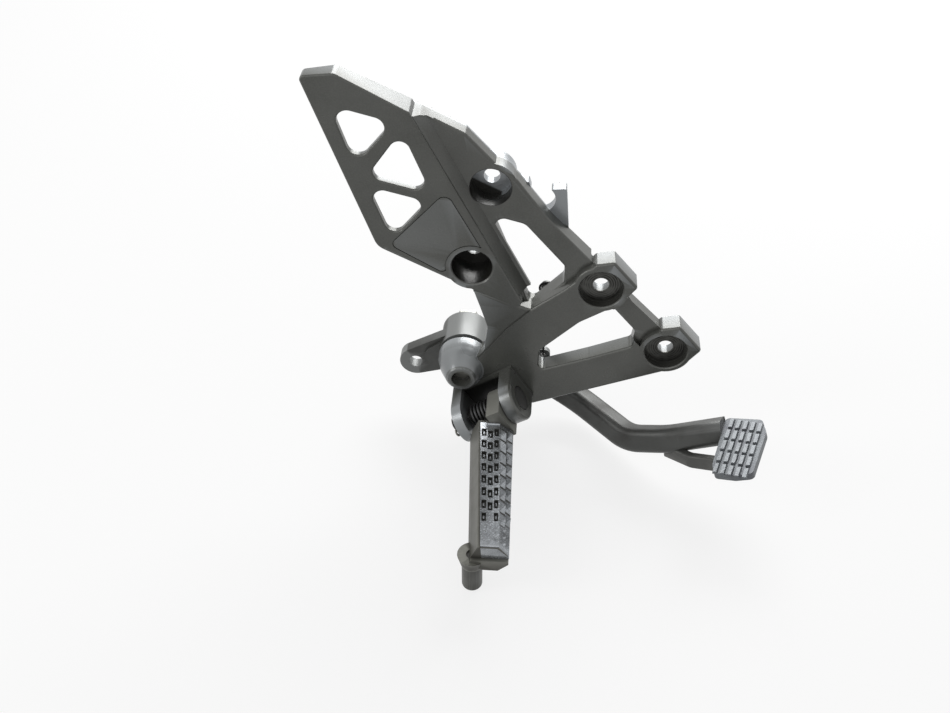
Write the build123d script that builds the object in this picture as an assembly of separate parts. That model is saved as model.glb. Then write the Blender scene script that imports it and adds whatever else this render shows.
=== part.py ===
"""Right-hand footrest hanger of a road motorcycle, in millimetres.

Frame: +X forward, +Y inboard (towards the frame), +Z up.
Origin: axis of the upper frame bolt, on the face that bolts to the frame.
The hanger is one aluminium casting: heel guard, brake cylinder web, two arms,
the pedal pivot boss and the clevis of the folding footpeg.
"""
from build123d import *
import math
import os

os.makedirs("parts", exist_ok=True)

# Frame bolts: M8 in counterbored bosses
frame_bolt_hole = 8.4
frame_bolt_counterbore = 22.7
frame_bolt_seat_depth = 5.0
lower_bolt_x = 37.8
lower_bolt_z = -40.3
boss_radius = 14.5

# Brake master cylinder bolts, one above the other
cylinder_hole = 8.4
cylinder_counterbore = 21.0
cylinder_boss_radius = 13.5
cylinder_bolt_x = -67.1
cylinder_bolt_z = 10.9
cylinder_bolt_pitch = 45.4
cylinder_lean = 11.3

# Depths across the casting, along Y
mating_y = 0.0
front_y = -11.0
web_front_y = -4.0
rail_front_y = -7.0
rim_back_y = 4.5
cylinder_seat_y = 7.0
cylinder_face_y = 12.0
boss_proud = 1.0
guard_skin = 3.6
guard_rim = 3.4
neck_step = 0.9
link_step = 3.0
edge_round = 1.4
bore_edge = 0.7
badge_groove = 0.5
pocket_depth = 5.5

# Pedal pivot
pivot_x = -72.7
pivot_z = -60.3
pivot_boss_radius = 14.0
pivot_boss_nose_radius = 8.6
pivot_boss_nose_y = -18.4
pivot_boss_back_y = 1.0
pivot_window = 10.7
pedal_shaft = 12.0
pedal_thread = 10.0
hub_front_y = 4.0
hub_length = 20.0
hub_radius = 13.8
bush_wall = 1.6
running_gap = 0.05

# Footpeg clevis: its pin leans up towards the front
fold_lean = 32.0
pin_x = -39.0
pin_y = -26.0
pin_z = -65.0
clevis_width = 38.0
ear_radius = 12.3
outer_ear = 7.5
inner_ear = 6.0
clevis_floor_y = -13.0
peg_pin = 8.0
pin_clearance = 0.08

# Footpeg: one lug beside the outer ear, the spring in the rest of the gap
peg_root_gap = 0.9
peg_end_y = -128.0
peg_top_z = -70.0
peg_bottom_z = -88.0
tread_depth = 9.0
front_drop = 5.5
root_shelf = 2.2
end_lip = 1.8
lug_radius = 9.5
lug_gap = 0.4
lug_width = 8.0
tooth_pitch = 8.2
tooth_rows = 8
first_tooth_y = -45.6
stud_pitch = 4.6
spring_wire = 1.8
spring_turns = 6
spring_side_gap = 0.6
sensor_radius = 5.2
sensor_x = -58.8
sensor_y = -122.6
sensor_top_z = -88.0
sensor_length = 17.0

# Brake pedal
arm_width = 13.0
arm_height = 14.0
lever_reach_x = -28.3
lever_reach_z = -11.8
lever_thickness = 6.5
lever_eye_radius = 9.3
lever_eye_hole = 8.0
pad_length = 45.0
pad_width = 23.0
pad_thickness = 4.0
pad_yaw = 18.6
pad_tilt = 20.0
pad_bar_height = 1.3

# Pedal return spring, hung from a post behind the diagonal arm
return_spring_x = -28.0
return_spring_y = 11.0
return_spring_top = -17.0
return_spring_bottom = -64.0
return_coil_radius = 4.0
return_wire = 1.4
return_turns = 16
coil_start_height = 9.0
lower_eye_radius = 3.2
spring_post_radius = 3.0


def outline(corners):
    """Flat face from corners (x, z, radius), each rounded by its own radius."""
    count = len(corners)
    entry, leave, edges = [], [], []
    for i, (x, z, radius) in enumerate(corners):
        here = Vector(x, z, 0)
        back = Vector(*corners[i - 1][:2], 0) - here
        ahead = Vector(*corners[(i + 1) % count][:2], 0) - here
        if radius == 0:
            entry.append(here)
            leave.append(here)
            continue
        back, ahead = back.normalized(), ahead.normalized()
        half = math.radians(back.get_angle(ahead)) / 2
        run = radius / math.tan(half)
        middle = (back + ahead).normalized()
        centre = here + middle * (radius / math.sin(half))
        entry.append(here + back * run)
        leave.append(here + ahead * run)
        edges.append(ThreePointArc(entry[-1], centre - middle * radius, leave[-1]))
    for i in range(count):
        start, end = leave[i - 1], entry[i]
        if (end - start).length > 1e-4:
            edges.append(Line(start, end))
    return make_face(Wire(edges))


def slab(face, outboard, inboard):
    """The face, drawn in X and Z, as a solid between two depths along Y."""
    return extrude(Plane.XZ.offset(-inboard) * face, inboard - outboard)


def disc(x, z, radius):
    return Pos(x, z) * Circle(radius)


def save(solid, node):
    export_step(solid, f"parts/{node}.step")


# Bolt centres, as (x, z)
upper_bolt = (0.0, 0.0)
lower_bolt = (lower_bolt_x, lower_bolt_z)
lean = math.radians(cylinder_lean)
lower_cylinder_bolt = (cylinder_bolt_x, cylinder_bolt_z)
upper_cylinder_bolt = (
    cylinder_bolt_x + cylinder_bolt_pitch * math.sin(lean),
    cylinder_bolt_z + cylinder_bolt_pitch * math.cos(lean),
)


def boss_outline(centre):
    """Frame bolt boss: a facet on top and in front, round below."""
    x, z = centre
    facets = outline([
        (x - 13.5, z + 3, 0), (x - 3.6, z + 15.6, 2), (x + 5.8, z + 17.6, 1.5),
        (x + 19.0, z + 2.2, 2), (x + 13.0, z - 6, 0), (x - 9.0, z - 11, 0),
    ])
    return facets + disc(x, z, boss_radius)


def rounded_plate(face, outboard, inboard, radius):
    """Slab with its outboard edges rounded."""
    plate = slab(face, outboard, inboard)
    return fillet(plate.faces().sort_by(Axis.Y)[0].edges(), radius)


# Heel guard: a skin with a deep rim behind its edge
guard_face = outline([
    (-147.0, 115.2, 2.5), (-130.0, 117.0, 5), (-96.2, 98.6, 1.5), (-40.4, -10.4, 1.8),
    (-42.6, -14.9, 3), (-66.5, -3.6, 6), (-115.6, 21.6, 9),
])
triangles = [
    outline([(-133.4, 100.6, 5.5), (-104.0, 92.8, 5.5), (-123.8, 69.0, 5.5)]),
    outline([(-100.2, 88.4, 5.0), (-87.0, 54.4, 5.0), (-118.3, 62.6, 5.0)]),
    outline([(-118.6, 57.4, 5.0), (-88.6, 49.6, 5.0), (-107.6, 26.4, 5.0)]),
]
skin_face = guard_face - triangles[0] - triangles[1] - triangles[2]
guard = rounded_plate(skin_face, front_y, front_y + guard_skin, edge_round - 0.4)
guard_back = extrude(
    make_face(Polyline((-160, front_y + 2), (-160, -5.9), (-83, rim_back_y), (120, rim_back_y),
                       (120, front_y + 2), close=True)),
    140, both=True)
rim_face = guard_face - offset(guard_face, -guard_rim)
guard += slab(rim_face, front_y + 2, rim_back_y) & guard_back

# Engraved outline of the blank badge field, stepped round the cylinder bolt
badge = outline([(-109.4, 23.2, 3.5), (-79.6, 56.8, 4.5), (-61.6, 22.6, 2), (-82.4, 7.0, 3)])
badge -= disc(*lower_cylinder_bolt, cylinder_boss_radius)
guard -= slab(badge - offset(badge, -badge_groove), front_y - 1, front_y + badge_groove)

# Web and rail: its front face rises towards the frame bolts
web_face = outline([
    (-97.5, 97.0, 0), (-91.8, 95.4, 3), (-70.4, 84.6, 3), (-56.0, 68.9, 0), (-45.0, 60.2, 3),
    (-28.4, 38.2, 40), (-5.5, 14.4, 0), (4, 0, 0), (-14, -6, 0), (-36, -18, 0), (-46, -10, 0),
])
window_1 = outline([
    (-58.2, 38.6, 4.5), (-40.6, 34.6, 7), (-19.4, 10.6, 3), (-19.4, 0.2, 3), (-36.0, -18.6, 3.2),
])


def rounded_web(profile):
    """Part of the web between depths drawn as (x, y), its upper edges and window rounded."""
    plate = slab(web_face - window_1, front_y, rim_back_y)
    plate &= extrude(make_face(Polyline(profile, close=True)), 140, both=True)
    edges = []
    for edge in plate.faces().filter_by(lambda face: face.normal_at().Y < -0.9).edges():
        middle = edge @ 0.5
        above = middle.X + middle.Z
        if above > 2 or (above > -18 and middle.Z > 12 and middle.X > web_join_x + 0.2):
            edges.append(edge)
    return fillet(edges, edge_round)


web_join_x = upper_cylinder_bolt[0]
web = rounded_web([
    (-120, web_front_y), (web_join_x, web_front_y), (web_join_x, rim_back_y), (-120, rim_back_y)])
web += rounded_web([
    (web_join_x, web_front_y), (-8, rail_front_y), (20, rail_front_y), (20, rim_back_y), (web_join_x, rim_back_y)])
flank_start = Vector(-96.2, 0, 98.6)
flank_end = Vector(-40.6, 0, -10.4)
flank_run = flank_end - flank_start
flank_plane = Plane(
    origin=(flank_start.X, 0, flank_start.Z),
    x_dir=(-flank_run.Z, 0, flank_run.X),
    z_dir=(flank_run.X, 0, flank_run.Z))
flank_face = make_face(Polyline(
    (-1, -front_y - 1), (0.4, -front_y - 1.2), (4.6, -web_front_y), (6.6, -web_front_y - 0.1),
    (6.6, -web_front_y - 2), (-1, -web_front_y - 2), close=True))
flank = extrude(flank_plane * flank_face, flank_run.length - 4)
flank &= slab(web_face + guard_face, front_y, rim_back_y)

# Arms to the two frame bolts, as one plate with a window
arm_face = outline([
    (-66.5, -3.6, 0), (-63.0, -14.5, 8), (-58.6, -29, 8), (-60.5, -46, 5), (-66, -52, 0), (-66, -66, 0),
    (-50, -76, 0), (-33, -83.6, 3), (42.5, -52.6, 0), (50, -40, 0), (46, -30, 0), (33.6, -26.0, 0),
    (16.6, -8.4, 0), (8, 6, 0), (-6, 12.5, 0), (-18.6, -0.8, 4), (-36.0, -15.2, 1), (-44, -12.0, 0),
])
window_2 = outline([
    (-30.2, -43.6, 3), (-9.8, -22.6, 12), (6.4, -12.0, 2), (20.2, -28.2, 3), (19.0, -37.6, 3),
    (-3.0, -47.2, 30), (-30.6, -58.0, 3),
])
arm_back_y = mating_y - boss_proud
arms = slab(arm_face - window_2, front_y, arm_back_y)
arm_front = arms.faces().sort_by(Axis.Y)[0]
arm_edges = arm_front.inner_wires()[0].edges()
for edge in arm_front.outer_wire().edges():
    middle = edge @ 0.5
    if -35 < middle.X < -10 or (middle.Z < -60 and middle.X > -50):
        arm_edges.append(edge)
arms = fillet(arm_edges, edge_round)
neck_face = outline([
    (-75, -1.0, 0), (-66.5, -4.4, 0), (-42.6, -15.7, 2), (-36.0, -15.6, 0), (-49.0, -29.8, 0), (-64.6, -52.6, 0),
    (-75, -52, 0),
])
arms -= slab(neck_face, front_y - 1, front_y + neck_step)
link_face = outline([(-4, -2, 0), (24, -2, 0), (48, -30, 0), (30, -44, 0), (8, -20, 0)])
link_face = link_face - boss_outline(upper_bolt) - boss_outline(lower_bolt)
arms -= slab(link_face, front_y - 1, front_y + link_step)

# Slope along the lower sill of the arm window, from its wall to the front face
sill_start = Vector(-34, 0, -59.6)
sill_end = Vector(20, 0, -37.0)
sill_run = sill_end - sill_start
sill_plane = Plane(
    origin=(sill_start.X, 0, sill_start.Z),
    x_dir=(sill_run.Z, 0, -sill_run.X),
    z_dir=(sill_run.X, 0, sill_run.Z))
sill_cut = make_face(Polyline((-3, -front_y + 1), (5.2, -front_y + 1), (5.2, -front_y), (-0.5, 6.0), (-3, 6.0),
                              close=True))
arms -= extrude(sill_plane * sill_cut, sill_run.length)

# Pockets in the back of both arms
pocket_upper = outline([(-51, -34, 3), (-20, -7.5, 3), (-12.5, -13.5, 5), (-33, -37, 4), (-45, -50, 4)])
pocket_lower = outline([(-27, -64, 2), (20, -45, 3), (24, -52, 3), (19, -56.5, 4), (-24, -75, 3)])
arms -= slab(pocket_upper, arm_back_y - pocket_depth, arm_back_y + 1)
arms -= slab(pocket_lower, arm_back_y - pocket_depth, arm_back_y + 1)
bosses = rounded_plate(boss_outline(upper_bolt), front_y, mating_y, edge_round)
bosses += rounded_plate(boss_outline(lower_bolt), front_y, mating_y, edge_round)

# Bosses for the brake cylinder bolts
cylinder_bosses = slab(disc(*lower_cylinder_bolt, cylinder_boss_radius), front_y, cylinder_face_y)
cylinder_bosses += slab(disc(*upper_cylinder_bolt, cylinder_boss_radius), web_front_y, rim_back_y)
cylinder_bosses += slab(disc(*upper_cylinder_bolt, cylinder_boss_radius - 1.2), rim_back_y, cylinder_face_y)

# Pivot boss of the brake pedal: a cone with an open nose
pivot_profile = make_face(Polyline(
    (0, pivot_boss_nose_y), (pivot_boss_nose_radius - 1.2, pivot_boss_nose_y),
    (pivot_boss_nose_radius, pivot_boss_nose_y + 1.2), (pivot_boss_radius - 1.4, -8.5),
    (pivot_boss_radius, -3.0), (pivot_boss_radius, pivot_boss_back_y), (0, pivot_boss_back_y),
    close=True))
pivot_boss = Pos(pivot_x, 0, pivot_z) * revolve(pivot_profile, Axis.Y)

# Clevis: two round ears across the leaning pin axis, on one root
fold = math.radians(fold_lean)
pin_axis = Vector(math.cos(fold), 0, math.sin(fold))
pin_face = Vector(pin_x, pin_y, pin_z)


def across(distance):
    """Plane square to the pin, this far inside the outer ear's face; its x runs outboard."""
    return Plane(origin=pin_face - pin_axis * distance, x_dir=(0, -1, 0), z_dir=pin_axis)


ear_reach = arm_back_y - pin_y
ear_face = Circle(ear_radius) + Pos(-ear_reach / 2, 0) * Rectangle(ear_reach, 2 * ear_radius)
outer_ear_plate = extrude(across(0) * ear_face, -outer_ear)
outer_edges = outer_ear_plate.faces().sort_by(Axis(pin_face, pin_axis))[-1].edges()
clevis = fillet(outer_edges, edge_round)
clevis += extrude(across(clevis_width - inner_ear) * ear_face, -inner_ear)
root_depth = arm_back_y - clevis_floor_y
root_face = Pos(-ear_reach + root_depth / 2, 0) * Rectangle(root_depth, 2 * ear_radius)
clevis += extrude(across(0) * root_face, -clevis_width)

# Claw for the brake light switch behind the rail, and the post of the return spring
claw_face = outline([
    (-46, 44, 0), (-45, 56.5, 1.5), (-39.4, 54.4, 1.5), (-38.0, 49.5, 0), (-29.0, 49.0, 0), (-27.6, 50.8, 1),
    (-20.6, 51.4, 1.2), (-18.4, 27, 0), (-34, 30, 0),
]) - disc(-33.5, 44.8, 7.6)
claw = slab(claw_face, rim_back_y - 1, rim_back_y + 5)
spring_post = slab(disc(return_spring_x, return_spring_top, spring_post_radius), arm_back_y - 1, return_spring_y + 3)
spring_post += slab(
    disc(return_spring_x, return_spring_top, spring_post_radius + 2.5), arm_back_y - pocket_depth - 1, arm_back_y + 2)

hanger = guard + web + flank + arms + bosses + cylinder_bosses + pivot_boss + clevis + claw + spring_post
hanger -= slab(window_2, mating_y - 1, 30)
for triangle in triangles:
    hanger -= slab(triangle, front_y + guard_skin - 1, rim_back_y + 1)

# Spot faces that leave the frame bosses proud at the back
for centre in (upper_bolt, lower_bolt):
    hanger -= slab(offset(boss_outline(centre), 1.5), mating_y, rim_back_y + 1)



def edge_break(centre, radius):
    """Small cone that breaks the edge of a counterbore in the front face."""
    x, z = centre
    cone = Cone(radius, radius + bore_edge + 0.1, bore_edge + 0.1)
    return Pos(x, front_y + (bore_edge - 0.1) / 2, z) * Rot(90, 0, 0) * cone


# Bores
for centre in (upper_bolt, lower_bolt):
    hanger -= slab(disc(*centre, frame_bolt_counterbore / 2), front_y - 5, front_y + frame_bolt_seat_depth)
    hanger -= slab(disc(*centre, frame_bolt_hole / 2), -30, 30)
    hanger -= edge_break(centre, frame_bolt_counterbore / 2)
for centre in (lower_cylinder_bolt, upper_cylinder_bolt):
    hanger -= slab(disc(*centre, cylinder_counterbore / 2), front_y - 5, cylinder_seat_y)
    hanger -= slab(disc(*centre, cylinder_hole / 2), -30, 30)
hanger -= edge_break(lower_cylinder_bolt, cylinder_counterbore / 2)
hanger -= slab(disc(pivot_x, pivot_z, pivot_window / 2), pivot_boss_nose_y - 5, pivot_boss_back_y - 14)
hanger -= slab(disc(pivot_x, pivot_z, pedal_thread / 2), pivot_boss_nose_y, pivot_boss_back_y + 1)
pin_bore = extrude(across(-5) * Circle(peg_pin / 2 + pin_clearance), -(clevis_width + 10))
hanger -= pin_bore
hanger -= extrude(across(-5) * Circle(7.0), -(5 + 2.5))

save(hanger, "hanger_casting")

# Footpeg: a cast base that carries the toothed tread
def cross_section(y, points):
    return make_face(Polyline([(x, y, z) for x, z in points], close=True))


def base_section(y, left, crease, right, bottom):
    return cross_section(y, [
        (left - 1.2, peg_top_z - 0.8), (crease, peg_top_z - 0.8), (right - 0.5, peg_top_z - front_drop - 1),
        (right - 0.2, peg_top_z - tread_depth - 2), (right - 5.4, bottom), (left + 1.4, bottom),
        (left - 5.8, bottom + 3), (left - 4.6, peg_top_z - 9),
    ])


def tread_section(y, left, crease, right):
    return cross_section(y, [
        (left, peg_top_z), (crease, peg_top_z), (right, peg_top_z - front_drop), (right - 0.3, peg_top_z - tread_depth),
        (left + 0.6, peg_top_z - tread_depth),
    ])


root_widths = (-60.2, -49.6, -42.3)
end_widths = (-54.6, -45.4, -40.4)
peg_root_y = pin_y - ear_radius - peg_root_gap
tread_end_y = peg_end_y + end_lip
tread = loft([
    tread_section(peg_root_y - root_shelf, *root_widths), tread_section(tread_end_y, *end_widths)], ruled=True)
tread = fillet(tread.faces().sort_by(Axis.Y)[0].edges().sort_by(Axis.Z)[-2:], 1.5)
peg = loft([
    base_section(peg_root_y, *root_widths, peg_bottom_z),
    base_section(peg_end_y, *end_widths, peg_bottom_z + 2)], ruled=True)
peg -= Pos(-50, tread_end_y, peg_top_z) * Box(
    40, 10, 2 * tread_depth, align=(Align.CENTER, Align.MAX, Align.CENTER))
lug_start = outer_ear + lug_gap
lug_face = Circle(lug_radius) + Pos(8, 0) * Rectangle(16, 2 * lug_radius)
peg += extrude(across(lug_start) * lug_face, -lug_width)
peg -= tread
peg -= extrude(across(-5) * Circle(peg_pin / 2 + pin_clearance), -(clevis_width + 10))
peg += Pos(sensor_x, sensor_y, sensor_top_z) * Cone(5.6, 7.4, 7, align=(Align.CENTER, Align.CENTER, Align.MIN))
peg -= Pos(sensor_x, sensor_y, sensor_top_z) * Cylinder(3.0, 7, align=(Align.CENTER, Align.CENTER, Align.MIN))
save(peg, "footpeg")


def tread_x(y, share):
    """Place across the level top of the tread, which narrows towards its end."""
    run = (peg_root_y - y) / (peg_root_y - tread_end_y)
    left = root_widths[0] + (end_widths[0] - root_widths[0]) * run
    crease = root_widths[1] + (end_widths[1] - root_widths[1]) * run
    return left + (crease - left) * share


def front_place(y, share, sunk=0.0):
    """Place on the slanted front of the tread, its z square to the slant."""
    run = (peg_root_y - y) / (peg_root_y - tread_end_y)
    crease = root_widths[1] + (end_widths[1] - root_widths[1]) * run
    right = root_widths[2] + (end_widths[2] - root_widths[2]) * run
    slant = math.degrees(math.atan2(front_drop, right - crease))
    x = crease + (right - crease) * share
    return Pos(x, y, peg_top_z - front_drop * share) * Rot(0, slant, 0) * Pos(0, 0, -sunk)


# Toothed tread: rows of pockets between ribs on top, pyramids on the slanted front
pocket = extrude(Rectangle(2.7, 4.4), -1.7, taper=8)
stud = Cone(0.95, 0.2, 1.1, align=(Align.CENTER, Align.CENTER, Align.MIN))
tooth = extrude(Rectangle(3.8, 4.4), 2.4, taper=34)
pockets, studs = [], []
for row in range(tooth_rows):
    y = first_tooth_y - row * tooth_pitch
    for share in (0.19, 0.53, 0.86):
        place = Pos(tread_x(y, share), y, peg_top_z)
        pockets.append(place * pocket)
        studs.append(place * Pos(0, 0, -1.7) * stud)
    for share in (0.27, 0.78):
        studs.append(front_place(y, share) * tooth)
for row in range(3):
    y = first_tooth_y - tooth_rows * tooth_pitch - row * stud_pitch
    studs.append(Pos(tread_x(y, 0.86), y, peg_top_z) * stud)
    studs.append(Pos(tread_x(y, 0.45), y - stud_pitch / 2, peg_top_z) * stud)
    studs.append(front_place(y - stud_pitch / 2, 0.45, 0.1) * stud)
tread -= pockets
tread += studs
save(tread, "peg_tread")

# Hinge pin of the peg, its washer and split pin
pin_length = clevis_width + 5.0
hinge_pin = extrude(across(0) * Circle(6.6), -2.4)
hinge_pin += extrude(across(0) * Circle(peg_pin / 2), -pin_length)
split_place = across(clevis_width + 2.6)
split_hole = split_place * Rot(0, 90, 0) * Cylinder(1.05, 20)
hinge_pin -= split_hole
save(hinge_pin, "peg_pin")
pin_washer = extrude(across(clevis_width) * (Circle(7.6) - Circle(peg_pin / 2 + pin_clearance)), -1.3)
save(pin_washer, "peg_pin_washer")
split_pin = split_place * Rot(0, 90, 0) * Cylinder(0.95, 13)
split_pin += split_place * Pos(7.6, 0, 0) * Torus(1.9, 0.6)
save(split_pin, "split_pin")

# Torsion spring that holds the peg down, in the gap beside the lug
spring_gap = clevis_width - inner_ear - lug_start - lug_width
coil_length = spring_gap - spring_wire - 2 * spring_side_gap
coil_pitch = coil_length / spring_turns
coil_start = lug_start + lug_width + spring_side_gap
coil_radius = peg_pin / 2 + spring_wire / 2 + 1.0
coil_path = Helix(coil_pitch, coil_length, coil_radius)
coil_section = Plane(origin=coil_path @ 0, z_dir=coil_path % 0) * RegularPolygon(spring_wire / 2, 8)
coil = sweep(coil_section, path=coil_path, is_frenet=True)
leg_end = coil_path @ 1
leg = Rot(90, 0, 0) * Cylinder(spring_wire / 2 - 0.1, 6.4)
coil += Pos(coil_radius - 0.02, -2.8, 0.1) * leg
coil += Pos(leg_end.X - 0.02, leg_end.Y + 2.8, leg_end.Z - 0.1) * leg
spring_plane = across(coil_start + coil_length + spring_wire / 2)
peg_spring = spring_plane.location * coil
save(peg_spring, "peg_spring")

# Bank sensor under the end of the peg
sensor = Pos(sensor_x, sensor_y, sensor_top_z) * Cylinder(
    sensor_radius, sensor_length, align=(Align.CENTER, Align.CENTER, Align.MAX))
sensor = fillet(sensor.faces().sort_by(Axis.Z)[0].edges(), 2.4)
sensor += Pos(sensor_x, sensor_y, sensor_top_z) * Cylinder(2.95, 6, align=(Align.CENTER, Align.CENTER, Align.MIN))
save(sensor, "bank_sensor")

# Place of the toe pad: turned outboard and tilted up at the front
yaw = math.radians(pad_yaw)
tilt = math.radians(pad_tilt)
pad_u = Vector(math.cos(tilt) * math.cos(yaw), -math.cos(tilt) * math.sin(yaw), math.sin(tilt))
pad_v = Vector(-math.sin(yaw), -math.cos(yaw), 0)

# Brake pedal: hub, rear lever and arm are one forging
hub_back_y = hub_front_y + hub_length
hub = slab(disc(pivot_x, pivot_z, hub_radius), hub_front_y, hub_back_y)
eye = (pivot_x + lever_reach_x, pivot_z + lever_reach_z)
lever_face = make_hull(
    (Pos(pivot_x, pivot_z) * Circle(hub_radius - 1)).edges() + (Pos(*eye) * Circle(lever_eye_radius)).edges())
lever_front_y = 8.0
hub += slab(lever_face, lever_front_y, lever_front_y + lever_thickness)
lever_web = make_hull(
    (Pos(pivot_x, pivot_z) * Circle(hub_radius - 2)).edges()
    + (Pos(pivot_x - 15, pivot_z - 6.3) * Circle(8)).edges())
hub += slab(lever_web, lever_front_y - 1.5, lever_front_y + lever_thickness + 1.5)
arm_path = FilletPolyline(
    (pivot_x + 4, 14, pivot_z - 4), (-38, 13, -76), (-6, 3, -91), (22, -28, -90), (42, -37, -80), (72, -38, -70),
    radius=[30, 30, 25, 30])
arm_section = Plane(origin=arm_path @ 0, x_dir=(0, 1, 0), z_dir=arm_path % 0) * RectangleRounded(
    arm_width, arm_height, 4)
arm = sweep(arm_section, path=arm_path)
spring_lug_z = return_spring_bottom
spring_lug = slab(
    disc(return_spring_x, spring_lug_z, 4.0) + Pos(return_spring_x, spring_lug_z - 7) * Rectangle(8, 14),
    return_spring_y - 1.5, return_spring_y + 1.5)
pad_plane = Plane(origin=(76.5, -55.0, -64.5), x_dir=pad_u, z_dir=pad_v.cross(pad_u))
pad_face = outline([
    (-13.2, 22.8, 3), (7.2, 21.6, 3), (11.4, 12, 8), (11.0, -20.2, 3), (2, -22.0, 4), (-9.2, -20.8, 3),
    (-11.4, -14, 6), (-12.2, 8, 20),
])
arm -= extrude(pad_plane.offset(-pad_thickness) * pad_face, 20)
pedal = hub + arm + spring_lug
pedal -= slab(disc(*eye, lever_eye_hole / 2), 0, 30)
pedal -= slab(disc(return_spring_x, spring_lug_z, 1.6), 0, 30)
pedal -= slab(disc(pivot_x, pivot_z, pedal_shaft / 2 + bush_wall), 0, 60)
save(pedal, "brake_pedal")

# Bush, shaft, washer and seal of the pedal pivot
bush = slab(
    disc(pivot_x, pivot_z, pedal_shaft / 2 + bush_wall) - disc(pivot_x, pivot_z, pedal_shaft / 2 + running_gap),
    hub_front_y + 0.2, hub_back_y - 0.2)
save(bush, "pedal_bush")
seal = slab(
    disc(pivot_x, pivot_z, 11.6) - disc(pivot_x, pivot_z, pedal_shaft / 2 + 0.1), pivot_boss_back_y, hub_front_y)
save(seal, "dust_seal")
washer_back_y = hub_back_y + 1.5
washer = slab(
    disc(pivot_x, pivot_z, 11.0) - disc(pivot_x, pivot_z, pedal_shaft / 2 + 0.1), hub_back_y, washer_back_y)
save(washer, "thrust_washer")
shaft = slab(disc(pivot_x, pivot_z, pedal_shaft / 2), pivot_boss_back_y, washer_back_y)
shaft += slab(disc(pivot_x, pivot_z, pedal_thread / 2 - 0.05), pivot_boss_back_y - 13, pivot_boss_back_y)
shaft += slab(disc(pivot_x, pivot_z, 9.4), washer_back_y, washer_back_y + 1.6)
shaft += slab(
    Pos(pivot_x, pivot_z) * RegularPolygon(7.5, 6, major_radius=False), washer_back_y + 1.6, washer_back_y + 7.5)
save(shaft, "pedal_shaft")

# Toe pad with rows of raised bars
pad = extrude(pad_plane * pad_face, -pad_thickness)
bar = extrude(Rectangle(2.6, 7.2), pad_bar_height, taper=14)
bars = []
for row in range(5):
    for column in range(5):
        bars.append(pad_plane.location * Pos(-8.4 + column * 4.0, 17.4 - row * 8.8 - column * 0.8, 0) * bar)
pad += bars
save(pad, "toe_pad")

# Brace from the arm to the outboard end of the pad
brace_path = FilletPolyline(
    (42, -38, -87), (54, -50, -82), (72, -62, -72), radius=12)
brace_section = Plane(origin=brace_path @ 0, x_dir=(0, 0, 1), z_dir=brace_path % 0) * RectangleRounded(8, 5, 1.5)
brace = sweep(brace_section, path=brace_path)
brace -= extrude(pad_plane.offset(-pad_thickness) * pad_face, 20)
brace -= pedal
save(brace, "pad_brace")

# Return spring of the pedal: a close coil with an eye at each end
wire_radius = return_wire / 2
return_pitch = return_wire + 0.35
coil_height = return_turns * return_pitch
coil_rim = return_coil_radius - wire_radius
return_path = Helix(return_pitch, coil_height, coil_rim)
return_section = Plane(origin=return_path @ 0, z_dir=return_path % 0) * RegularPolygon(wire_radius, 8)
return_spring = Pos(0, 0, coil_start_height) * sweep(return_section, path=return_path, is_frenet=True)
upper_eye_radius = spring_post_radius + wire_radius + 0.03
hook_top = return_spring_top - return_spring_bottom
end_wire = wire_radius - 0.08
for height in (coil_start_height, coil_start_height + coil_height):
    return_spring += Pos(coil_rim / 2, 0, height) * Rot(0, 90, 0) * Cylinder(end_wire, coil_rim)
    return_spring += Pos(0, 0, height) * Sphere(end_wire)
lower_shank = coil_start_height - 2 * lower_eye_radius
return_spring += Pos(0, 0, coil_start_height - lower_shank / 2) * Cylinder(end_wire, lower_shank)
coil_end = coil_start_height + coil_height
upper_shank = hook_top - upper_eye_radius - coil_end
return_spring += Pos(0, 0, coil_end + upper_shank / 2) * Cylinder(end_wire, upper_shank)
return_spring += Pos(0, 0, lower_eye_radius) * Rot(0, 90, 0) * Torus(lower_eye_radius, end_wire)
return_spring += Pos(0, 0, hook_top) * Rot(90, 0, 0) * Torus(upper_eye_radius, end_wire)
return_spring = Pos(return_spring_x, return_spring_y, return_spring_bottom) * return_spring
save(return_spring, "return_spring")
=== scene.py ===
import math

import bpy
from mathutils import Matrix, Vector


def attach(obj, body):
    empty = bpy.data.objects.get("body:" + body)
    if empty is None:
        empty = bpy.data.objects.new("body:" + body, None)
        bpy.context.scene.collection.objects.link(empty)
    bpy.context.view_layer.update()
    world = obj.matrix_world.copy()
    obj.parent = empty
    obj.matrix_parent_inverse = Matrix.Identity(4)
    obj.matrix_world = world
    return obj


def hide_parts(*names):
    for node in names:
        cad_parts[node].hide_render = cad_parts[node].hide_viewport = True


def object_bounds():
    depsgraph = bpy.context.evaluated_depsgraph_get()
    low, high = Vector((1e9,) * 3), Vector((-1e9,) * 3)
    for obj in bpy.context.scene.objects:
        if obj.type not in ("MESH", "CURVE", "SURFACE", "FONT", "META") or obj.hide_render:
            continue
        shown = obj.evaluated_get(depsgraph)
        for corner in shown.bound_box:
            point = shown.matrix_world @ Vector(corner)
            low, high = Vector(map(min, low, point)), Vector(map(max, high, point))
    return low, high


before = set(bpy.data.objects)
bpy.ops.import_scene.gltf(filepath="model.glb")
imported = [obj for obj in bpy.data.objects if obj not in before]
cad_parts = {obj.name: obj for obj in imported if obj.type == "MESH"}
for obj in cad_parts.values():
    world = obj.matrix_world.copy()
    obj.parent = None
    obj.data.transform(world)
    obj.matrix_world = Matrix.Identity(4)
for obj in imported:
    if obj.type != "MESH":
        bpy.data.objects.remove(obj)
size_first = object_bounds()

SHARP_ANGLE = 32


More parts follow.
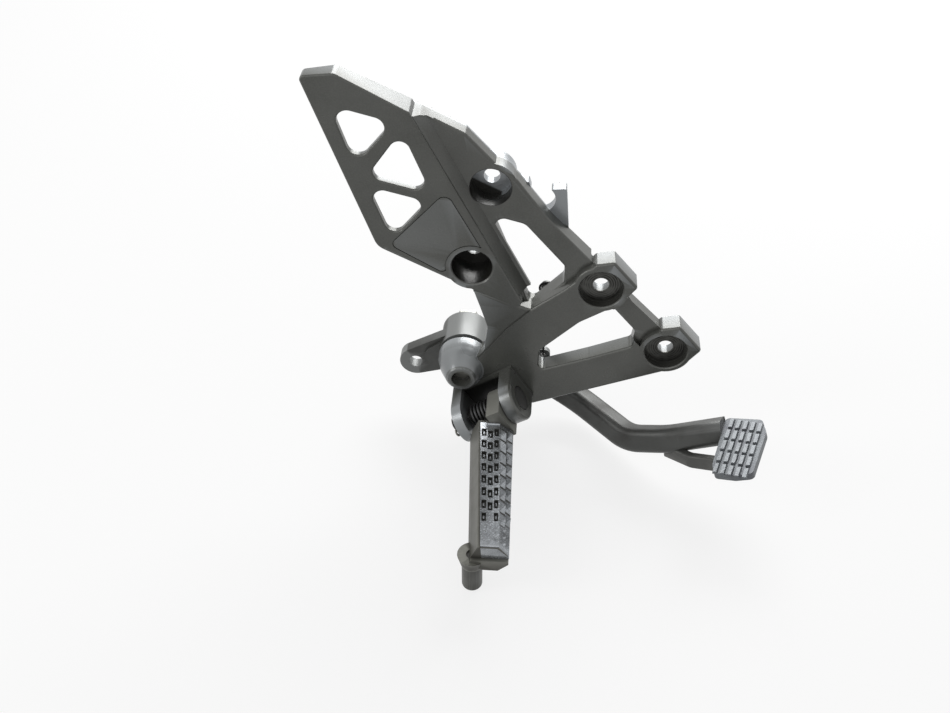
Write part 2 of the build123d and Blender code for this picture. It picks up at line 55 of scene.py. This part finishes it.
def linear(hex_colour):
    """sRGB hex colour as linear RGBA."""
    channels = [int(hex_colour[i:i + 2], 16) / 255 for i in (0, 2, 4)]
    return [c / 12.92 if c <= 0.04045 else ((c + 0.055) / 1.055) ** 2.4 for c in channels] + [1.0]


def node(tree, kind, inputs=None, **settings):
    """Adds one shader node; an input is a value or another node's output."""
    made = tree.nodes.new(kind)
    for name, value in settings.items():
        setattr(made, name, value)
    for name, value in (inputs or {}).items():
        socket = made.inputs[name]
        if isinstance(value, bpy.types.NodeSocket):
            tree.links.new(value, socket)
        else:
            socket.default_value = value
    return made


def new_material(name):
    material = bpy.data.materials.new(name)
    material.use_nodes = True
    material.node_tree.nodes.clear()
    return material, material.node_tree


def surface(tree, **inputs):
    """The principled shader of a material and its output."""
    shader = node(tree, "ShaderNodeBsdfPrincipled", inputs)
    node(tree, "ShaderNodeOutputMaterial", {"Surface": shader.outputs[0]})
    return shader


def maths(tree, operation, *values):
    return node(tree, "ShaderNodeMath", dict(enumerate(values)), operation=operation).outputs[0]


def vector_maths(tree, operation, *values):
    return node(tree, "ShaderNodeVectorMath", dict(enumerate(values)), operation=operation)


def noise(tree, place, size_mm, detail=3.0):
    """Cloud of spots about this many millimetres across."""
    return node(tree, "ShaderNodeTexNoise", {
        "Vector": place, "Scale": 1000.0 / size_mm, "Detail": detail}).outputs["Fac"]


def ramp(tree, value, low, high, start=0.0, end=1.0):
    """Maps low..high of a value to start..end, clamped."""
    made = node(tree, "ShaderNodeMapRange", {
        "Value": value, "From Min": low, "From Max": high, "To Min": start, "To Max": end})
    return made.outputs["Result"]


def blend(tree, factor, colour_a, colour_b):
    """Colour a where the factor is 0, colour b where it is 1."""
    made = node(tree, "ShaderNodeMix", data_type="RGBA")
    sockets = (made.inputs[0], made.inputs[6], made.inputs[7])
    for socket, value in zip(sockets, (factor, colour_a, colour_b)):
        if isinstance(value, bpy.types.NodeSocket):
            tree.links.new(value, socket)
        else:
            socket.default_value = value
    return made.outputs[2]


def bumps(tree, height, depth_mm):
    made = node(tree, "ShaderNodeBump", {
        "Height": height, "Strength": 1.0, "Distance": depth_mm / 1000})
    return made.outputs[0]


def object_place(tree):
    return node(tree, "ShaderNodeTexCoord").outputs["Object"]


def along(tree, place, origin, direction):
    """Distance in metres from a point along a direction."""
    shifted = vector_maths(tree, "SUBTRACT", place, origin).outputs[0]
    return vector_maths(tree, "DOT_PRODUCT", shifted, direction).outputs["Value"]


def from_bolt(tree, place, x, z):
    """Distance in metres from an axis that runs along Y."""
    shifted = vector_maths(tree, "SUBTRACT", place, (x, 0, z)).outputs[0]
    flat = vector_maths(tree, "MULTIPLY", shifted, (1, 0, 1)).outputs[0]
    return vector_maths(tree, "LENGTH", flat).outputs["Value"]


def band(tree, value, low, high, soft):
    """1 where the value lies between low and high, fading over the soft width."""
    rise = ramp(tree, value, low - soft, low)
    fall = ramp(tree, value, high, high + soft, 1.0, 0.0)
    return maths(tree, "MULTIPLY", rise, fall)


def shelter(tree, reach_mm):
    """1 in corners and hollows narrower than the reach, 0 on open faces."""
    openness = node(tree, "ShaderNodeAmbientOcclusion", {"Distance": reach_mm / 1000}, samples=8)
    return ramp(tree, openness.outputs["AO"], 0.25, 0.8, 1.0, 0.0)


def metal(name, colour, worn, dull, roughness, grain_mm, grain_depth_mm, metallic=1.0):
    """Metal with a fine grain, rubbed edges, duller patches and painted shade in its corners."""
    material, tree = new_material(name)
    place = object_place(tree)
    pointed = node(tree, "ShaderNodeNewGeometry").outputs["Pointiness"]
    cloud = noise(tree, place, 14.0)
    grain = noise(tree, place, grain_mm, 2.0)
    tint = blend(tree, ramp(tree, cloud, 0.45, 0.75), linear(colour), linear(dull))
    tint = blend(tree, ramp(tree, pointed, 0.54, 0.64), tint, linear(worn))
    # Corners and hollows darkened: painted shade.
    tint = blend(tree, maths(tree, "MULTIPLY", shelter(tree, 3.0), 0.6), tint, linear("3a3935"))
    rough = ramp(tree, cloud, 0.3, 0.75, roughness - 0.04, roughness + 0.08)
    surface(tree, **{
        "Base Color": tint, "Metallic": metallic, "Roughness": rough,
        "Normal": bumps(tree, grain, grain_depth_mm)})
    return material


def shade(mesh, sharp_angle):
    """Smooth shading that leaves large flat faces flat: corner normals weighted by face area."""
    limit = math.cos(math.radians(sharp_angle))
    keys = [tuple(round(c, 6) for c in vertex.co) for vertex in mesh.vertices]
    around = {}
    for face in mesh.polygons:
        for v in face.vertices:
            around.setdefault(keys[v], []).append((face.normal.copy(), face.area))
    corners = []
    for face in mesh.polygons:
        for v in face.vertices:
            total = Vector()
            for normal, area in around[keys[v]]:
                if face.normal.dot(normal) > limit:
                    total += normal * area
            corners.append(total.normalized())
    mesh.shade_smooth()
    mesh.normals_split_custom_set(corners)


def dress(name, material, sharp_angle=SHARP_ANGLE):
    """Gives a CAD node its material."""
    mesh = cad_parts[name].data
    mesh.materials.clear()
    mesh.materials.append(material)
    shade(mesh, sharp_angle)


# The hanger is an aluminium casting under a dark silver-grey lacquer: satin,
# a little warm, with a fine sandy skin. The bolt seats are bare metal with rings
# worn by the bolt heads, painted dark as painted shade; the walls of their bores,
# the deep cylinder bolt holes and the clevis carry painted shade, and the cone of
# the pedal pivot carries a painted highlight. Corners and hollows carry painted
# shade, and convex edges are lighter from wear and a painted highlight.
BOLTS = [(0.0, 0.0), (0.0378, -0.0403)]
CYLINDER_BOLTS = [(-0.0671, 0.0109), (-0.0582, 0.0554)]
SEAT_Y = -0.006
PIVOT = (-0.0727, -0.0603)
PIN_FACE = (-0.039, -0.026, -0.065)
PIN_INWARD = (-0.848, 0.0, -0.5299)
PIN_ACROSS = (0.5299, 0.0, -0.848)
CONE_NOSE_Y = -0.0172
CONE_NOSE_RADIUS = 0.0086
CONE_SLOPE = 0.46
PIVOT_BOSS_RADIUS = 0.014
lacquer, tree = new_material("Satin grey lacquer on cast aluminium")
place = object_place(tree)
pointed = node(tree, "ShaderNodeNewGeometry").outputs["Pointiness"]
cloud = noise(tree, place, 22.0)
speck = noise(tree, place, 0.8, 2.0)
tint = blend(tree, ramp(tree, cloud, 0.35, 0.7), linear("61625e"), linear("575854"))
speckle = maths(tree, "MULTIPLY", ramp(tree, speck, 0.35, 0.7), 0.25)
tint = blend(tree, speckle, tint, linear("757672"))
# Convex edges lighter in a bluish tint: edge wear and a painted highlight.
tint = blend(tree, ramp(tree, pointed, 0.54, 0.66), tint, linear("a3a7a9"))
# Corners and hollows darker: painted shade.
tint = blend(tree, maths(tree, "MULTIPLY", shelter(tree, 4.0), 0.55), tint, linear("34332f"))
depth = along(tree, place, (0, 0, 0), (0, 1, 0))
at_seat = band(tree, depth, SEAT_Y - 0.0004, SEAT_Y + 0.0004, 0.0002)
seat = 0.0
for x, z in BOLTS:
    disc = band(tree, from_bolt(tree, place, x, z), 0.003, 0.0108, 0.0003)
    seat = maths(tree, "ADD", seat, maths(tree, "MULTIPLY", at_seat, disc))
turned = maths(tree, "MINIMUM", *(from_bolt(tree, place, x, z) for x, z in BOLTS))
rings = maths(tree, "SINE", maths(tree, "MULTIPLY", turned, 5200.0))
rings = maths(tree, "MULTIPLY", ramp(tree, rings, -0.6, 0.9), ramp(tree, noise(tree, place, 5.0), 0.35, 0.6))
# Bolt seats: bare metal with rings worn by the bolt heads, painted dark as painted shade inside the
# counterbores.
seat_rings_in_shade = blend(tree, rings, linear("4b4b48"), linear("161513"))
tint = blend(tree, seat, tint, seat_rings_in_shade)
# Walls of the bolt counterbores: painted shade.
wall = 0.0
for x, z in BOLTS:
    rim = band(tree, from_bolt(tree, place, x, z), 0.0108, 0.01155, 0.0001)
    in_bore = band(tree, depth, -0.0115, SEAT_Y - 0.0002, 0.0003)
    wall = maths(tree, "MAXIMUM", wall, maths(tree, "MULTIPLY", rim, in_bore))
tint = blend(tree, maths(tree, "MULTIPLY", wall, 0.6), tint, linear("2a2926"))
# Deep cylinder bolt holes: painted shade, nearly black.
hole_shade = 0.0
for x, z in CYLINDER_BOLTS:
    hollow = band(tree, from_bolt(tree, place, x, z), 0.0, 0.01065, 0.0002)
    hollow = maths(tree, "MULTIPLY", hollow, band(tree, depth, -0.0095, 0.0072, 0.002))
    hole_shade = maths(tree, "MAXIMUM", hole_shade, hollow)
tint = blend(tree, maths(tree, "MULTIPLY", hole_shade, 0.85), tint, linear("23221f"))
# Inside of the clevis round the peg's hinge pin: painted shade, nearly black.
along_pin = along(tree, place, PIN_FACE, PIN_INWARD)
across_pin = along(tree, place, PIN_FACE, PIN_ACROSS)
clevis_shade = maths(tree, "MULTIPLY",
             band(tree, along_pin, 0.0076, 0.0319, 0.0003), ramp(tree, depth, -0.030, -0.024))
clevis_shade = maths(tree, "MULTIPLY", clevis_shade, band(tree, across_pin, -0.009, 0.013, 0.0015))
tint = blend(tree, maths(tree, "MULTIPLY", clevis_shade, 0.92), tint, linear("0e0e0d"))
claw = maths(tree, "MULTIPLY", ramp(tree, depth, 0.0032, 0.0034), ramp(tree, along(
    tree, place, (-0.0335, 0, 0.036), (0.45, 0, 0.9)), 0.0, 0.001))
tint = blend(tree, claw, tint, linear("a7abae"))
# Cone of the pedal pivot: a painted highlight, lighter than the lacquer.
cone_radius = maths(tree, "MULTIPLY_ADD", depth, CONE_SLOPE, CONE_NOSE_RADIUS - CONE_NOSE_Y * CONE_SLOPE)
cone_radius = maths(tree, "MINIMUM", cone_radius, PIVOT_BOSS_RADIUS)
off_cone = maths(tree, "SUBTRACT", from_bolt(tree, place, *PIVOT), cone_radius)
on_cone = ramp(tree, maths(tree, "ABSOLUTE", off_cone), 0.0006, 0.0009, 1.0, 0.0)
lightened = maths(tree, "MULTIPLY", on_cone, band(tree, depth, CONE_NOSE_Y, 0.0008, 0.0003))
tint = blend(tree, maths(tree, "MULTIPLY", lightened, 0.6), tint, linear("a9adb0"))
surface(tree, **{
    "Base Color": tint,
    "Metallic": ramp(tree, seat, 0, 1, 0.25, 0.7),
    "Roughness": ramp(tree, cloud, 0.3, 0.75, 0.26, 0.33),
    "Normal": bumps(tree, speck, 0.02)})
dress("hanger_casting", lacquer)

# Brake pedal: a steel forging under a dull nickel plate.
dress("brake_pedal", metal(
    "Nickel-plated steel forging", "4e4f4d", "838584", "3c3b39", 0.42, 2.0, 0.02, metallic=0.3))

# Toe pad: a pale cast plate with a sandy ground, the tops of its bars rubbed
# brighter by the sole.
PAD_ORIGIN = (0.0765, -0.055, -0.0645)
PAD_UP = (-0.3242, 0.1091, 0.9397)
material, tree = new_material("Cast toe pad, bars rubbed")
place = object_place(tree)
height = along(tree, place, PAD_ORIGIN, PAD_UP)
grain = noise(tree, place, 0.7, 2.0)
tint = blend(tree, ramp(tree, noise(tree, place, 9.0), 0.4, 0.7), linear("74787b"), linear("63656a"))
# Corners between the bars darkened: painted shade.
tint = blend(tree, maths(tree, "MULTIPLY", shelter(tree, 1.6), 0.7), tint, linear("3b3b39"))
tint = blend(tree, maths(tree, "MULTIPLY", ramp(tree, height, 0.0008, 0.0012), ramp(tree, grain, 0.3, 0.6)),
             tint, linear("979b9e"))
surface(tree, **{
    "Base Color": tint, "Metallic": 0.4, "Roughness": ramp(tree, grain, 0.3, 0.7, 0.42, 0.55),
    "Normal": bumps(tree, grain, 0.04)})
dress("toe_pad", material)

# Brace under the pad: a plain steel bar, dull and rough, with a skin like
# mill scale that breaks up its reflections.
dress("pad_brace", metal(
    "Dull brace steel", "555553", "82827f", "40403d", 0.5, 0.8, 0.03, metallic=0.5))

# Pedal pivot: a yellow bronze bush, a zinc-plated shaft and washer gone dull,
# and a black seal that shows as a dark line between hanger and hub.
zinc = metal("Dulled zinc plate", "7f7e79", "b5b5b0", "5c5a52", 0.38, 0.6, 0.02, metallic=0.8)
dress("pedal_bush", metal("Bronze bush", "a9814f", "c79e66", "7d5c36", 0.35, 0.6, 0.01))
dress("pedal_shaft", zinc)
dress("thrust_washer", zinc)
rubber, tree = new_material("Black seal rubber")
place = object_place(tree)
surface(tree, **{
    "Base Color": blend(tree, noise(tree, place, 3.0), linear("1c1c1c"), linear("2b2a28")),
    "Roughness": 0.7, "Normal": bumps(tree, noise(tree, place, 0.5), 0.02)})
dress("dust_seal", rubber)

# Footpeg base: a bare aluminium casting, dull and slightly brown from the road,
# with a coarse skin.
dress("footpeg", metal(
    "Dull peg casting", "53524c", "8f8f88", "42413b", 0.45, 0.8, 0.05, metallic=0.3))

# Tread of the footpeg: a bright bare casting. Its top is a lattice of ribs and
# bars round three columns of pockets, its slanted front carries two columns of
# sharp pyramids, and small cones stand on the smooth end, which rounds over.
TREAD_TOP = -70.0
TREAD_ROOT_Y = -41.4
TREAD_LENGTH = 84.8
FRONT_DROP = 5.5
ROOT_WIDTHS = (-60.2, -49.6, -42.3)
END_WIDTHS = (-54.6, -45.4, -40.4)
TOOTH_PITCH = 8.4
POCKET_DEPTH = 1.5
END_ROUND = 3.2
TREAD_DEPTH = 9.0
PYRAMID_HEIGHT = 2.4
PYRAMID_ROWS = 8
SHARP_TREAD_ANGLE = 20


def tread_edges(u):
    """X of the left edge, the crease and the right edge at a distance from the root."""
    return [a + (b - a) * u / TREAD_LENGTH for a, b in zip(ROOT_WIDTHS, END_WIDTHS)]


def on_top(u, share, height=0.0):
    left, crease, right = tread_edges(u)
    return Vector((left + (crease - left) * share, TREAD_ROOT_Y - u, TREAD_TOP + height)) / 1000


def on_front(u, share, height=0.0):
    left, crease, right = tread_edges(u)
    slope = Vector((FRONT_DROP, 0, right - crease)).normalized()
    foot = Vector((crease + (right - crease) * share, TREAD_ROOT_Y - u, TREAD_TOP - FRONT_DROP * share))
    return (foot + slope * height) / 1000


tread_points, tread_faces, tread_slots = [], [], []


def tread_face(corners, slot=0):
    start = len(tread_points)
    tread_points.extend(corners)
    tread_faces.append(tuple(range(start, start + len(corners))))
    tread_slots.append(slot)


def corners_at(place, u_0, u_1, s_0, s_1, height=0.0):
    return [place(u, share, height) for u, share in ((u_0, s_0), (u_1, s_0), (u_1, s_1), (u_0, s_1))]


def collar(outer, inner, slot=0):
    """Four faces between two rings of corners."""
    for i in range(4):
        tread_face([outer[i], outer[i - 3], inner[i - 3], inner[i]], slot)


def pocket_cell(u_0, u_1, s_0, s_1):
    """Sunk pocket with a small square stud, between a bar and two ribs."""
    outer = corners_at(on_top, u_0, u_1, s_0, s_1)
    rim = corners_at(on_top, u_0 + 1.5, u_1 - 1.5, s_0 + 0.035, s_1 - 0.035)
    floor = corners_at(on_top, u_0 + 1.9, u_1 - 1.9, s_0 + 0.06, s_1 - 0.06, -POCKET_DEPTH)
    foot = corners_at(on_top, u_0 + 2.9, u_1 - 2.9, s_0 + 0.11, s_1 - 0.11, -POCKET_DEPTH)
    head = corners_at(on_top, u_0 + 3.2, u_1 - 3.2, s_0 + 0.13, s_1 - 0.13, -0.5)
    collar(outer, rim)
    collar(rim, floor, 1)
    collar(floor, foot, 1)
    collar(foot, head)
    tread_face(head)


def pyramid_cell(u_0, u_1, s_0, s_1, height):
    outer = corners_at(on_front, u_0, u_1, s_0, s_1)
    foot = corners_at(on_front, u_0 + 0.6, u_1 - 0.6, s_0 + 0.02, s_1 - 0.02)
    tip = on_front((u_0 + u_1) / 2, (s_0 + s_1) / 2, height)
    collar(outer, foot, 1)
    for i in range(4):
        tread_face([foot[i], foot[i - 3], tip])


def cone_stud(place, u, share, width, radius=1.0, height=1.5):
    ring = []
    for i in range(12):
        angle = i * math.tau / 12
        ring.append(place(u + radius * math.cos(angle), share + radius * math.sin(angle) / width, -0.1))
    for i in range(12):
        tread_face([ring[i], ring[i - 11], place(u, share, height)])


def tread_section(u, drop):
    """Outline of the whole tread, its upper corners lowered by the drop."""
    left, crease, right = tread_edges(u)
    return [Vector((x, TREAD_ROOT_Y - u, TREAD_TOP - z)) / 1000 for x, z in (
        (left + 0.6, TREAD_DEPTH), (left, drop), (crease, drop), (right, FRONT_DROP + drop),
        (right - 0.3, TREAD_DEPTH))]


# Columns: start of the first pocket, number of pockets and the shares of the top
# that they take
for first, rows, s_0, s_1 in ((3.2, 8, 0.02, 0.345), (4.6, 7, 0.345, 0.675), (3.0, 8, 0.675, 0.98)):
    tread_face(corners_at(on_top, 0, first, s_0, s_1))
    for row in range(rows):
        pocket_cell(first + row * TOOTH_PITCH, first + (row + 1) * TOOTH_PITCH, s_0, s_1)
    tread_face(corners_at(on_top, first + rows * TOOTH_PITCH, TREAD_LENGTH - END_ROUND, s_0, s_1))
for s_0, s_1 in ((0, 0.02), (0.98, 1)):
    tread_face(corners_at(on_top, 0, TREAD_LENGTH - END_ROUND, s_0, s_1))
for first, s_0, s_1 in ((3.6, 0.02, 0.5), (1.5, 0.5, 0.98)):
    tread_face(corners_at(on_front, 0, first, s_0, s_1))
    for row in range(PYRAMID_ROWS):
        pyramid_cell(first + row * TOOTH_PITCH, first + (row + 1) * TOOTH_PITCH, s_0, s_1, PYRAMID_HEIGHT)
    tread_face(corners_at(on_front, first + PYRAMID_ROWS * TOOTH_PITCH, TREAD_LENGTH - END_ROUND, s_0, s_1))
for s_0, s_1 in ((0, 0.02), (0.98, 1)):
    tread_face(corners_at(on_front, 0, TREAD_LENGTH - END_ROUND, s_0, s_1))
for row in range(3):
    u = 71.6 + row * 4.2
    cone_stud(on_top, u, 0.84, 10)
    cone_stud(on_top, u + 1.8, 0.42, 10)
    cone_stud(on_front, u + 1.2, 0.45, 8)
sections = [tread_section(0, 0), tread_section(TREAD_LENGTH - END_ROUND, 0)]
for step in range(1, 7):
    turn = step * math.pi / 12
    sections.append(tread_section(
        TREAD_LENGTH - END_ROUND * (1 - math.sin(turn)), END_ROUND * (1 - math.cos(turn))))
for near, far in zip(sections, sections[1:]):
    for i in range(5):
        if near is not sections[0] or i not in (1, 2):
            tread_face([near[i], far[i], far[i - 4], near[i - 4]])
tread_face(sections[0])
tread_face(sections[-1][::-1])
# Rounded shoulder across the root
shoulder = [(1 - math.cos(step * math.pi / 6), 0.9 * math.sin(step * math.pi / 6)) for step in range(7)]
for (u_0, h_0), (u_1, h_1) in zip(shoulder, shoulder[1:]):
    tread_face([
        on_top(u_0, 0.35, h_0), on_top(u_1, 0.35, h_1), on_top(u_1, 1, h_1), on_top(u_0, 1, h_0)])
tread_face([on_top(u, 0.35, h) for u, h in shoulder[::-1]])
tread_face([on_top(u, 1, h) for u, h in shoulder])

mesh = bpy.data.meshes.new("toothed_tread")
mesh.from_pydata(tread_points, [], tread_faces)
mesh.polygons.foreach_set("material_index", tread_slots)
tread = bpy.data.objects.new("toothed_tread", mesh)
bpy.context.collection.objects.link(tread)

material, tree = new_material("Bare tread, ribs polished")
place = object_place(tree)
grain = noise(tree, place, 0.9, 2.0)
patches = ramp(tree, noise(tree, place, 6.0), 0.35, 0.7)
tint = blend(tree, patches, linear("a9adb1"), linear("888b8e"))
# Hollows darkened: painted shade.
tint = blend(tree, maths(tree, "MULTIPLY", shelter(tree, 2.2), 0.8), tint, linear("2b2b29"))
surface(tree, **{
    "Base Color": tint, "Metallic": 0.6, "Roughness": ramp(tree, grain, 0.3, 0.7, 0.2, 0.3),
    "Normal": bumps(tree, grain, 0.01)})
mesh.materials.append(material)

# Second slot: walls and floors of the pockets and the grooves round the pyramids, painted dark as painted
# shade.
material, tree = new_material("Painted shade in the tread's hollows")
place = object_place(tree)
surface(tree, **{
    "Base Color": blend(tree, noise(tree, place, 1.2), linear("1d1d1b"), linear("4a4a46")),
    "Metallic": 0.3, "Roughness": 0.5, "Normal": bumps(tree, noise(tree, place, 0.6), 0.1)})
mesh.materials.append(material)
shade(mesh, SHARP_TREAD_ANGLE)
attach(tread, "peg")
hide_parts("peg_tread")

# Bank sensor: a turned steel stud that touches the road first, so it is scuffed
# and greyed.
dress("bank_sensor", metal(
    "Scuffed turned steel", "5c5c59", "8e8e8a", "474743", 0.42, 0.5, 0.02, metallic=0.4))

# Hinge pin of the peg: painted nearly black as painted shade in its recessed bore.
# Its washer and split pin have the dulled zinc of the pivot.
pin_in_shade = metal("Pin darkened as painted shade", "1b1b1a", "444443", "121211", 0.45, 0.6, 0.03, metallic=0.3)
dress("peg_pin", pin_in_shade)
dress("peg_pin_washer", zinc)
dress("split_pin", zinc)

# Springs: dark oiled wire, darkened further as painted shade, smooth along the coils,
# with a weak shine.
wire = metal("Oiled spring wire in painted shade", "2e2e2d", "5a5a5c", "1d1c1b", 0.4, 0.6, 0.01, metallic=0.6)
dress("peg_spring", wire, sharp_angle=60)
dress("return_spring", wire, sharp_angle=60)

# Floor: plain and pale under the lowest point of the peg. The camera and
# reflections see it near white, and it keeps a soft shadow; as a source of
# light it is greyer.
bpy.ops.mesh.primitive_plane_add(size=8, location=(0, 0, size_first[0][2]))
floor = bpy.context.object
floor.name = "floor"


def seen_directly(tree):
    """1 for rays from the camera, a reflection or a transmission."""
    path = node(tree, "ShaderNodeLightPath")
    seen = maths(tree, "MAXIMUM", path.outputs["Is Camera Ray"], path.outputs["Is Glossy Ray"])
    return maths(tree, "MAXIMUM", seen, path.outputs["Is Transmission Ray"])


pale, tree = new_material("Pale floor")
seen = seen_directly(tree)
lit = node(tree, "ShaderNodeBsdfDiffuse", {
    "Color": blend(tree, seen, linear("707070"), linear("f4f4f4"))})
glow = node(tree, "ShaderNodeEmission", {"Color": (1, 1, 1, 1), "Strength": 1.0})
mixed = node(tree, "ShaderNodeMixShader", {
    0: maths(tree, "MULTIPLY", seen, 0.8), 1: lit.outputs[0], 2: glow.outputs[0]})
node(tree, "ShaderNodeOutputMaterial", {"Surface": mixed.outputs[0]})
floor.data.materials.append(pale)

# World: white where the camera or a reflection sees it, weaker as light.
world = bpy.data.worlds.new("studio")
bpy.context.scene.world = world
world.use_nodes = True
tree = world.node_tree
tree.nodes.clear()
level = ramp(tree, seen_directly(tree), 0, 1, 0.25, 1.0)
background = node(tree, "ShaderNodeBackground", {"Color": (1, 1, 1, 1), "Strength": level})
node(tree, "ShaderNodeOutputWorld", {"Surface": background.outputs[0]})


def soft_light(name, place, target, width, height, watts):
    lamp = bpy.data.lights.new(name, "AREA")
    lamp.shape = "RECTANGLE"
    lamp.size = width
    lamp.size_y = height
    lamp.energy = watts
    holder = bpy.data.objects.new(name, lamp)
    bpy.context.collection.objects.link(holder)
    holder.location = place
    holder.rotation_euler = (Vector(target) - Vector(place)).to_track_quat("-Z", "Y").to_euler()


# A long soft light behind and above, as in the photograph, a narrow one from the
# left and a weak one in front.
middle = (-0.03, -0.03, 0.0)
soft_light("behind", (0.22, 0.98, 0.74), middle, 1.2, 0.62, 17)
soft_light("left", (-0.95, -0.35, 0.45), middle, 0.35, 0.6, 2.5)
soft_light("front", (-0.5, -1.2, 0.9), middle, 1.0, 1.0, 2.5)

# Camera at the photograph's viewing angle.
camera_data = bpy.data.cameras.new("camera")
camera_data.sensor_width = 36.0
camera_data.lens = 1100 / 950 * 36.0
camera = bpy.data.objects.new("camera", camera_data)
bpy.context.collection.objects.link(camera)
right = Vector((0.99737, 0.07245, 0.0))
up = Vector((-0.04788, 0.65905, 0.75057))
back = Vector((0.05438, -0.7486, 0.66079))
facing = Matrix((right, up, back)).transposed()
camera.matrix_world = Matrix.Translation((-0.03252, -0.46413, 0.35032)) @ facing.to_4x4()
bpy.context.scene.camera = camera
bpy.context.scene.view_settings.view_transform = "Standard"
